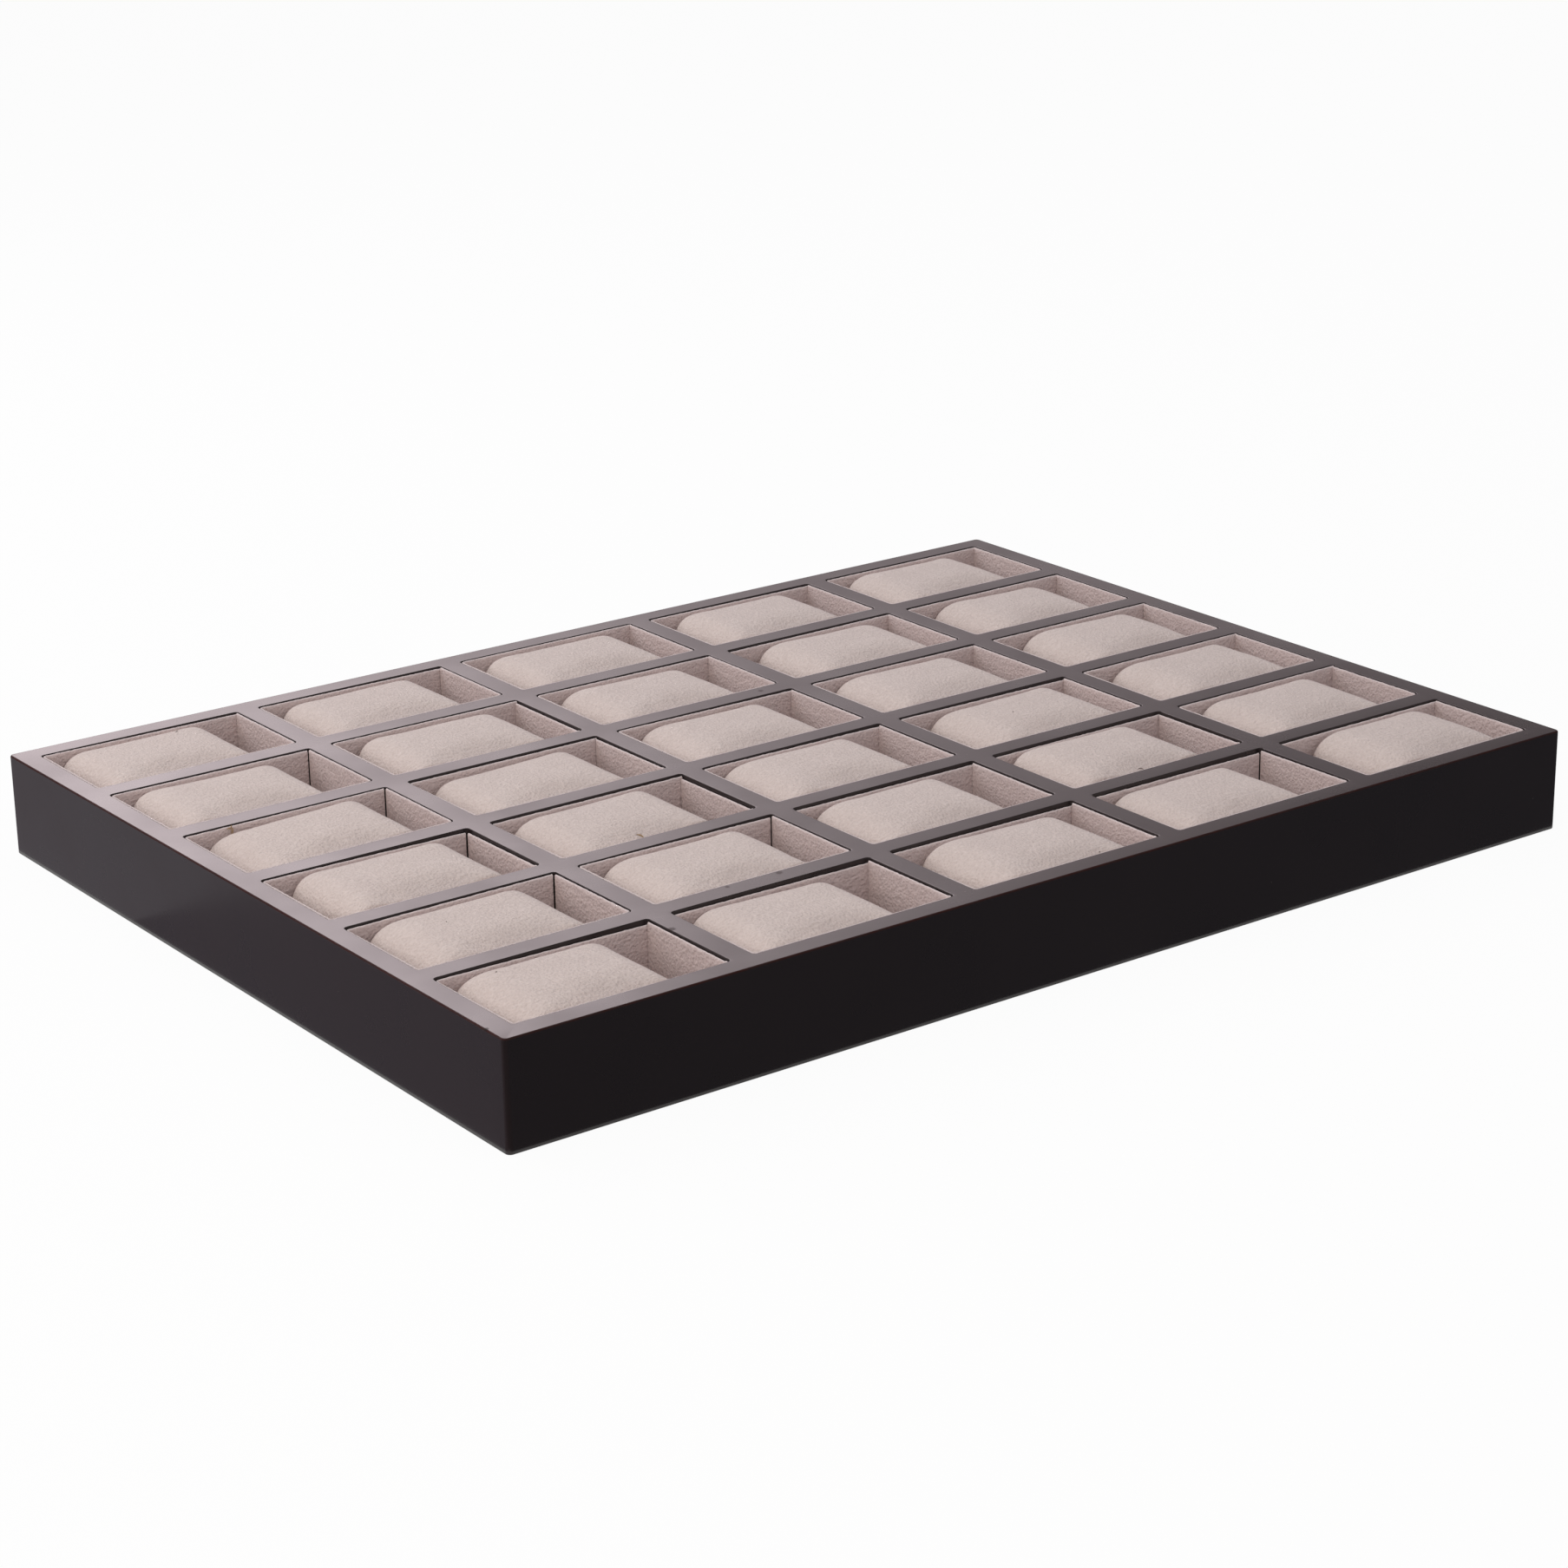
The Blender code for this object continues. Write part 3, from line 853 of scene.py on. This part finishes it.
def stuffed_cushion(column, row):
    """One cushion, fitted where its CAD solid lies and to the lean of that solid's top."""
    node = f"cushion_c{column}_r{row}"
    low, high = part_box(node)
    length = high.x - low.x
    width = high.y - low.y
    beside_crown = [
        vertex.co
        for vertex in frame["nodes"][node].data.vertices
        if abs(vertex.co.y - (low.y + high.y) / 2) > OFF_MIDDLE
    ]
    left_top = max(point.z for point in beside_crown if point.x < low.x + length * END_SHARE)
    right_top = max(point.z for point in beside_crown if point.x > high.x - length * END_SHARE)
    pattern = covers[min(covers, key=lambda size: abs(size - length))]
    mesh = pattern.copy()
    mesh.name = f"stuffed_{node}"
    box_low = Vector([min(v.co[axis] for v in mesh.vertices) for axis in range(3)])
    box_high = Vector([max(v.co[axis] for v in mesh.vertices) for axis in range(3)])
    seed = Vector((column * 3.1, row * 5.7, 1.3))
    lift = NAP_HEIGHT + (FRONT_ROW_LIFT if row == 0 else 0.0)
    reach = LEFT_REACHES[row % len(LEFT_REACHES)][column % len(LEFT_REACHES[0])] * MM
    lining_face = x_lines[2 * column + 1] + NEAR_GAP + STRIP_THICKNESS
    reach = min(reach, low.x - lining_face - SIDE_ROOM)
    valley_shade_layer = mesh.attributes.new("painted_valley_shade", "FLOAT", "POINT")
    for vertex in mesh.vertices:
        share_x = (vertex.co.x - box_low.x) / (box_high.x - box_low.x)
        share_y = (vertex.co.y - box_low.y) / (box_high.y - box_low.y)
        share_z = (vertex.co.z - box_low.z) / (PATTERN_HEIGHT - box_low.z)
        x = low.x + (length + NAP_HEIGHT) * share_x
        y = low.y + width * share_y
        past_shoulder = (x - low.x - ROLL_RADIUS) / (length - 2 * ROLL_RADIUS)
        top = left_top + (right_top - left_top) * past_shoulder + lift
        z = low.z + (top - low.z) * share_z
        behind_front = 1 - smooth(0.0, SLUMP_REACH, y - low.y)
        deepening = SHOULDER_SLUMP + (1 - SHOULDER_SLUMP) * smooth(*SLUMP_DEEPENS, x - low.x)
        along = deepening * (1 - smooth(*SLUMP_ENDS, share_x))
        slump = behind_front * along * smooth(*SLUMP_RISES, share_z)
        z -= SLUMP * slump
        # Painted shade on the sunken strip, stored per point for the cushion's colour
        valley_shade_layer.data[vertex.index].value = VALLEY_SHADE_STRENGTH * slump * smooth(*VALLEY_SHADE_FROM, x - low.x)
        x -= reach * (1 - smooth(0.0, REACH_END, x - low.x))
        sway = noise.noise_vector(Vector((x, y, z)) / SWAY_PITCH + seed)
        x += SWAY[0] * sway.x
        y += SWAY[1] * sway.y
        z += SWAY[2] * sway.z * smooth(*SWAY_RISES, share_z)
        vertex.co = (x, min(max(y, low.y), high.y), max(z, low.z))
    mesh.materials.clear()
    mesh.materials.append(cushion_suede)
    cushion = bpy.data.objects.new(f"stuffed_{node}", mesh)
    bpy.context.scene.collection.objects.link(cushion)
    mesh.shade_smooth()
    rounder = cushion.modifiers.new("soft cover", "SUBSURF")
    rounder.levels = 1
    rounder.render_levels = 1
    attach(cushion, "root")
    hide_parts(node)


for row in range(rows):
    for column in range(columns):
        stuffed_cushion(column, row)

# Lint. Short dark fibres and a few curled tan ones that the nap has picked up. They are loose and lie on
# whatever is under them, held by friction alone.
DARK_THICKNESS = 0.28 * MM
TAN_THICKNESS = 0.55 * MM
LINT_RINGS = 9
DROP_FROM = 10 * MM
# Column, row, place from the left and front of the opening in mm, length in mm, turn and bend in degrees
DARK_LINT = (
    (0, 0, 18.0, 38.0, 1.3, 35, 20),
    (0, 1, 28.0, 27.0, 0.8, 80, 10),
    (3, 2, 37.0, 22.0, 1.2, 60, 20),
    (0, 5, 52.0, 37.0, 3.2, 20, 60),
    (3, 1, 37.6, 3.2, 3.4, 70, 150),
    (2, 0, 61.0, 5.5, 0.9, 10, 10),
)
TAN_FIBRES = (
    (1, 2, 38.0, 4.0, 3.6, 75, 80),
    (0, 3, 18.0, 46.0, 2.6, 15, 60),
    (0, 3, 18.8, 45.8, 1.8, 95, 120),
    (0, 3, 19.6, 46.4, 1.8, -150, 140),
)


def lint(name, strands, shade, thickness):
    """Loose fibres as thin tapered three-sided strands, lying on whatever is under them."""
    # Cotton and polyester lint: dull fibres, drawn a little thicker than real so they show
    fluff = bpy.data.materials.new(f"{name}_fibre")
    fluff.use_nodes = True
    tree = fluff.node_tree
    shader = tree.nodes["Principled BSDF"]
    shader.inputs["Roughness"].default_value = 1.0
    shader.inputs["Specular IOR Level"].default_value = 0.2
    place = add(tree, "ShaderNodeTexCoord").outputs["Object"]
    twist = add(tree, "ShaderNodeTexNoise", {"Scale": 1 / (0.6 * MM)}, {"Vector": place})
    tint = add(
        tree,
        "ShaderNodeMix",
        {"data_type": "RGBA", 6: colour(shade), 7: colour("8F8078")},
        {0: twist.outputs["Fac"]},
    )
    tree.links.new(tint.outputs[2], shader.inputs["Base Color"])
    shape = bmesh.new()
    depsgraph = bpy.context.evaluated_depsgraph_get()
    for column, row, from_left, from_front, length, turn, bend in strands:
        cushion = bpy.data.objects[f"stuffed_cushion_c{column}_r{row}"].evaluated_get(depsgraph)
        strip = bpy.data.objects[f"cell_lining_c{column}_r{row}"].evaluated_get(depsgraph)
        point = Vector((x_lines[2 * column + 1] + from_left * MM, y_lines[2 * row + 1] + from_front * MM))
        heading = math.radians(turn)
        rings = []
        for step in range(LINT_RINGS):
            above = Vector((point.x, point.y, rim + DROP_FROM))
            hits = [under.ray_cast(above, Vector((0, 0, -1))) for under in (cushion, strip)]
            height = max((hit[1].z for hit in hits if hit[0]), default=rim - MM)
            thick = thickness / 2 * (1 - 0.6 * abs(2 * step / (LINT_RINGS - 1) - 1))
            across = Vector((-math.sin(heading), math.cos(heading), 0.0)) * thick
            centre = Vector((point.x, point.y, height + thick))
            ring = [centre + across, centre - across, centre + Vector((0, 0, 1.4 * thick))]
            rings.append([shape.verts.new(corner) for corner in ring])
            heading += math.radians(bend) / LINT_RINGS
            point += Vector((math.cos(heading), math.sin(heading))) * length * MM / (LINT_RINGS - 1)
        for ring, following in zip(rings, rings[1:]):
            for index in range(3):
                after = (index + 1) % 3
                shape.faces.new((ring[index], ring[after], following[after], following[index]))
        shape.faces.new(rings[0][::-1])
        shape.faces.new(rings[-1])
    bmesh.ops.recalc_face_normals(shape, faces=shape.faces)
    strands_piece = piece_from(shape, name, fluff)
    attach(strands_piece, "root")


lint("dark_lint", DARK_LINT, "3A3230", DARK_THICKNESS)
lint("tan_lint", TAN_FIBRES, "A8823C", TAN_THICKNESS)

# Floor and room. A white table in a white room, lit softly by three broad lamps. The camera sees the room
# and the table white. The lacquer mirrors a dim screen and cards round the tray instead, which only it sees.
WHITE = (1.0, 1.0, 1.0, 1.0)


def seen_directly(tree):
    """1 for rays from the camera, or by way of gloss or glass, and 0 for light that falls on things."""
    path = add(tree, "ShaderNodeLightPath")
    gloss = add(
        tree,
        "ShaderNodeMath",
        {"operation": "MAXIMUM"},
        {0: path.outputs["Is Camera Ray"], 1: path.outputs["Is Glossy Ray"]},
    )
    return add(
        tree,
        "ShaderNodeMath",
        {"operation": "MAXIMUM"},
        {0: gloss.outputs[0], 1: path.outputs["Is Transmission Ray"]},
    ).outputs[0]


room = bpy.data.worlds.new("white_room")
bpy.context.scene.world = room
room.use_nodes = True
tree = room.node_tree
tree.nodes.clear()
air = add(tree, "ShaderNodeBackground", {"Color": colour("F4F2F5"), "Strength": 0.54})
wall_white = add(tree, "ShaderNodeBackground", {"Color": WHITE, "Strength": 1.0})
room_mix = add(
    tree,
    "ShaderNodeMixShader",
    {},
    {0: seen_directly(tree), 1: air.outputs[0], 2: wall_white.outputs[0]},
)
add(tree, "ShaderNodeOutputWorld", {}, {"Surface": room_mix.outputs[0]})

# White laminate: plain and matt, lifted to the white of the room where it is seen directly
laminate = bpy.data.materials.new("white_laminate")
laminate.use_nodes = True
tree = laminate.node_tree
tree.nodes.clear()
matt = add(tree, "ShaderNodeBsdfDiffuse", {"Color": colour("EDEDED")})
lift = add(tree, "ShaderNodeEmission", {"Color": WHITE}, {"Strength": seen_directly(tree)})
whitened = add(tree, "ShaderNodeMixShader", {"Fac": 0.95}, {1: matt.outputs[0], 2: lift.outputs[0]})
add(tree, "ShaderNodeOutputMaterial", {}, {"Surface": whitened.outputs[0]})

floor_shape = bmesh.new()
bmesh.ops.create_circle(floor_shape, cap_ends=True, segments=96, radius=9.0)
floor = piece_from(floor_shape, "white_table", laminate)


def only_for_gloss(card):
    """Lets a card or screen show in the lacquer and nowhere else."""
    card.visible_camera = False
    card.visible_diffuse = False
    card.visible_transmission = False
    card.visible_volume_scatter = False
    card.visible_shadow = False


def card_at(name, tone, height, left, right, front, back):
    """Level card of one even tone."""
    paper = bpy.data.materials.new(f"{name}_paper")
    paper.use_nodes = True
    paper.cycles.emission_sampling = "NONE"
    tree = paper.node_tree
    tree.nodes.clear()
    face = add(tree, "ShaderNodeEmission", {"Color": tone, "Strength": 1.0})
    add(tree, "ShaderNodeOutputMaterial", {}, {"Surface": face.outputs[0]})
    shape = bmesh.new()
    corners = ((left, front, height), (right, front, height), (right, back, height), (left, back, height))
    shape.faces.new([shape.verts.new(corner) for corner in corners])
    only_for_gloss(piece_from(shape, name, paper))


# Cards on the table reach out to the screen, or past it on the right. Two of them meet beside the left wall,
# where the light on it steps up. The ceiling card closes the screen at the top.
CARD_LIFT = 1.0 * MM
CARD_END = 3.0
RIGHT_END = 4.0
LEFT_MEETING = 80 * MM
CEILING_HEIGHT = 2.3
CEILING_HALF = 1.9
half_x = x_lines[-1] + MM / 2
half_y = y_lines[-1] + MM / 2
card_at("front_card", (0.11, 0.115, 0.135, 1.0), CARD_LIFT, -CARD_END, RIGHT_END, -CARD_END, -half_y)
card_at("near_left_card", (0.25, 0.225, 0.265, 1.0), CARD_LIFT, -CARD_END, -half_x, -half_y, LEFT_MEETING)
card_at("far_left_card", (0.42, 0.39, 0.435, 1.0), CARD_LIFT, -CARD_END, -half_x, LEFT_MEETING, CARD_END)
card_at("back_card", (0.20, 0.18, 0.20, 1.0), CARD_LIFT, -half_x, RIGHT_END, half_y, CARD_END)
card_at("right_card", (0.16, 0.15, 0.165, 1.0), CARD_LIFT, half_x, RIGHT_END, -half_y, half_y)
card_at(
    "ceiling_card",
    (0.12, 0.10, 0.10, 1.0),
    CEILING_HEIGHT,
    -CEILING_HALF,
    CEILING_HALF,
    -CEILING_HALF,
    CEILING_HALF,
)


def toward(azimuth, elevation, distance):
    """Point seen from the tray's middle at an angle from +X, an angle above the table and a distance."""
    around = math.radians(azimuth)
    up = math.radians(elevation)
    x = math.cos(up) * math.cos(around)
    y = math.cos(up) * math.sin(around)
    return Vector((x, y, math.sin(up))) * distance


# Thin muslin hung round the tray, lit from behind by the window. One line of glow for each height in degrees,
# at these angles from the right: bright behind and to the left, dim on the right, dark round the camera.
# Fitted so that the rim runs from pale to dark as the real one does, and rounded
SCREEN_DISTANCE = 3.0
SCREEN_AZIMUTHS = (-40, 20, 38, 46, 54, 62, 72, 90, 130, 165, 200, 240, 280, 320)
SCREEN_HEIGHTS = (0, 12, 20, 30, 50)
SCREEN_GLOW = (
    (0.2, 0.4, 1.1, 0.3, 0.1, 0.5, 2.2, 2.7, 1.6, 0.6, 0.2, 0.1, 0.1, 0.2),
    (0.2, 0.2, 0.9, 0.9, 0.1, 0.4, 2.6, 2.9, 1.6, 0.6, 0.2, 0.1, 0.1, 0.2),
    (0.3, 0.1, 0.1, 0.7, 1.5, 2.6, 3.8, 3.2, 1.6, 0.6, 0.2, 0.1, 0.1, 0.3),
    (0.4, 0.3, 0.1, 0.3, 1.5, 4.3, 5.1, 3.4, 1.6, 0.6, 0.2, 0.1, 0.1, 0.4),
    (0.4, 0.4, 0.2, 0.5, 1.7, 4.1, 4.9, 3.4, 1.6, 0.6, 0.2, 0.1, 0.1, 0.4),
)
screen_shape = bmesh.new()
glow_layer = screen_shape.verts.layers.float.new("glow")
screen_rings = []
for height, glows in zip(SCREEN_HEIGHTS, SCREEN_GLOW):
    line = []
    for azimuth, glow in zip(SCREEN_AZIMUTHS, glows):
        vertex = screen_shape.verts.new(toward(azimuth, height, SCREEN_DISTANCE))
        vertex[glow_layer] = glow
        line.append(vertex)
    screen_rings.append(line)
for lower, upper in zip(screen_rings, screen_rings[1:]):
    for index in range(len(lower) - 1):
        screen_shape.faces.new((lower[index], lower[index + 1], upper[index + 1], upper[index]))
muslin = bpy.data.materials.new("backlit_muslin")
muslin.use_nodes = True
muslin.cycles.emission_sampling = "NONE"
tree = muslin.node_tree
tree.nodes.clear()
glow = add(tree, "ShaderNodeAttribute", {"attribute_name": "glow"})
lit = add(
    tree,
    "ShaderNodeEmission",
    {"Color": (1.0, 0.865, 0.895, 1.0)},
    {"Strength": glow.outputs["Fac"]},
)
add(tree, "ShaderNodeOutputMaterial", {}, {"Surface": lit.outputs[0]})
only_for_gloss(piece_from(screen_shape, "muslin_screen", muslin))


def soft_light(name, azimuth, elevation, distance, width, height, power, tint):
    """Rectangular diffused lamp aimed at the tray, which neither the camera nor gloss sees."""
    lamp = bpy.data.lights.new(name, "AREA")
    lamp.shape = "RECTANGLE"
    lamp.size = width
    lamp.size_y = height
    lamp.energy = power
    lamp.color = colour(tint)[:3]
    carrier = bpy.data.objects.new(name, lamp)
    bpy.context.scene.collection.objects.link(carrier)
    carrier.location = toward(azimuth, elevation, distance)
    carrier.rotation_euler = (-carrier.location).to_track_quat("-Z", "Y").to_euler()
    carrier.visible_camera = False
    carrier.visible_glossy = False


soft_light("window_behind", 115, 38, 1.3, 1.3, 0.8, 5.6, "FBFBFF")
soft_light("window_left", 198, 34, 1.5, 1.5, 1.0, 6.2, "FFF5EA")
soft_light("room_front", -105, 50, 2.2, 1.6, 1.2, 3.0, "FFFFFF")

# Camera. The view of the photograph, solved from the tray's corners: a long lens aimed a little in front of
# the tray's middle, from the front left and above.
AIM = Vector((-28.74, -38.29, 40.0)) * MM
AZIMUTH = math.radians(-126.3255)
ELEVATION = math.radians(19.4236)
ROLL = -0.0153
DISTANCE = 1385.76 * MM
FOCAL_LENGTH_MM = 85.66
SENSOR_WIDTH_MM = 36.0
eye = AIM + DISTANCE * Vector(
    (math.cos(ELEVATION) * math.cos(AZIMUTH), math.cos(ELEVATION) * math.sin(AZIMUTH), math.sin(ELEVATION))
)
ahead = (AIM - eye).normalized()
level = ahead.cross(Vector((0.0, 0.0, 1.0))).normalized()
upward = level.cross(ahead)
side = math.cos(ROLL) * level + math.sin(ROLL) * upward
top = math.cos(ROLL) * upward - math.sin(ROLL) * level
camera_data = bpy.data.cameras.new("photograph_view")
camera_data.lens = FOCAL_LENGTH_MM
camera_data.sensor_width = SENSOR_WIDTH_MM
camera_data.clip_start = 0.05
camera_data.clip_end = 50.0
camera = bpy.data.objects.new("photograph_view", camera_data)
bpy.context.scene.collection.objects.link(camera)
camera.matrix_world = Matrix.Translation(eye) @ Matrix((side, top, -ahead)).transposed().to_4x4()
bpy.context.scene.camera = camera
bpy.context.scene.view_settings.view_transform = "Standard"
